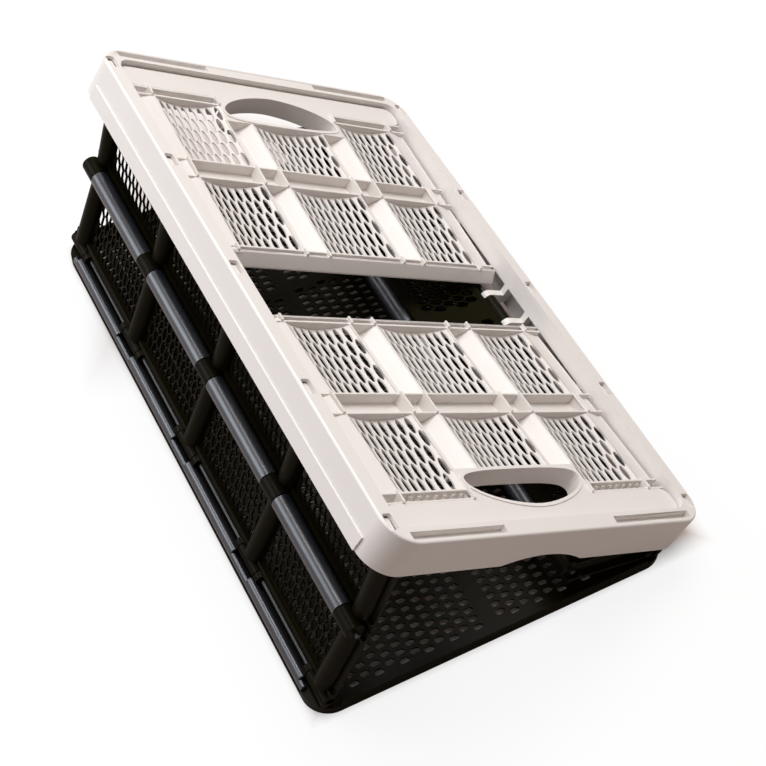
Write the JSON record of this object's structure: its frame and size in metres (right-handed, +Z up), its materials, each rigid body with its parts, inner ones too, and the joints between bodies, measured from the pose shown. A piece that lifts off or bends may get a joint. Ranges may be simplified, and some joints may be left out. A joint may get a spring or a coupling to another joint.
{
  "type": "collapsible basket",
  "caption": "Folding plastic crate, half collapsed: perforated black base and folding long walls under a tilted ivory rim with swung-up slotted end panels.",
  "frame": {"origin": "middle of the base tray's underside, on the floor", "axes": "+Z up, Y along the basket, +X towards the side whose wall is folded down"},
  "size_m": [0.3416, 0.527, 0.2199],
  "materials": {
    "ivory_plastic": "moulded satin",
    "black_plastic": "moulded satin",
    "hinge_rod": "extruded satin"
  },
  "bodies": {
    "base": {"base_tray": "black_plastic", "left_base_rod": "hinge_rod", "right_base_rod": "hinge_rod"},
    "left_lower": {"left_lower_wall": "black_plastic", "left_middle_rod": "hinge_rod"},
    "left_upper": {"left_upper_wall": "black_plastic", "left_rim_rod": "hinge_rod"},
    "rim": {"rim_frame": "ivory_plastic"},
    "right_lower": {"right_lower_wall": "black_plastic", "right_middle_rod": "hinge_rod"},
    "right_upper": {"right_upper_wall": "black_plastic", "right_rim_rod": "hinge_rod"},
    "front_panel": {"front_end_panel": "ivory_plastic", "front_panel_left_pin": "ivory_plastic", "front_panel_right_pin": "ivory_plastic"},
    "rear_panel": {"rear_end_panel": "ivory_plastic", "rear_panel_left_pin": "ivory_plastic", "rear_panel_right_pin": "ivory_plastic"}
  },
  "joints": [
    {"name": "left_lower_fold", "type": "hinge", "parent": "base", "child": "left_lower", "pos_m": [-0.146, 0, 0.016], "axis": [0, 1, 0], "range_deg": [0, 70]},
    {"name": "left_middle_fold", "type": "hinge", "parent": "left_lower", "child": "left_upper", "pos_m": [-0.12385, 0, 0.10318], "axis": [0, 1, 0], "range_deg": [-175, 0]},
    {"name": "rim_tilt", "type": "hinge", "parent": "left_upper", "child": "rim", "pos_m": [-0.09367, 0, 0.18102], "axis": [0, 1, 0], "range_deg": [0, 73.7]},
    {"name": "right_lower_fold", "type": "hinge", "parent": "base", "child": "right_lower", "pos_m": [0.146, 0, 0.016], "axis": [0, 1, 0], "range_deg": [-15.56, 0]},
    {"name": "right_middle_fold", "type": "hinge", "parent": "right_lower", "child": "right_upper", "pos_m": [0.06219, 0, 0.04867], "axis": [0, 1, 0], "range_deg": [-0.001, 0.69138]},
    {"name": "front_panel_swing", "type": "hinge", "parent": "rim", "child": "front_panel", "pos_m": [0.0341, -0.238, 0.12265], "axis": [-0.8545, 0, 0.5195], "range_deg": [-2.4, 0]},
    {"name": "rear_panel_swing", "type": "hinge", "parent": "rim", "child": "rear_panel", "pos_m": [0.0341, 0.238, 0.12265], "axis": [0.8545, 0, -0.5195], "range_deg": [-2.4, 0]}
  ],
  "couplings": [
    {"joint": "left_middle_fold", "follows": "left_lower_fold", "ratio": -2.5},
    {"joint": "rim_tilt", "follows": "left_lower_fold", "ratio": 1.0529},
    {"joint": "right_lower_fold", "follows": "left_lower_fold", "ratio": -0.22222},
    {"joint": "right_middle_fold", "follows": "left_lower_fold", "ratio": 0.0098626}
  ]
}
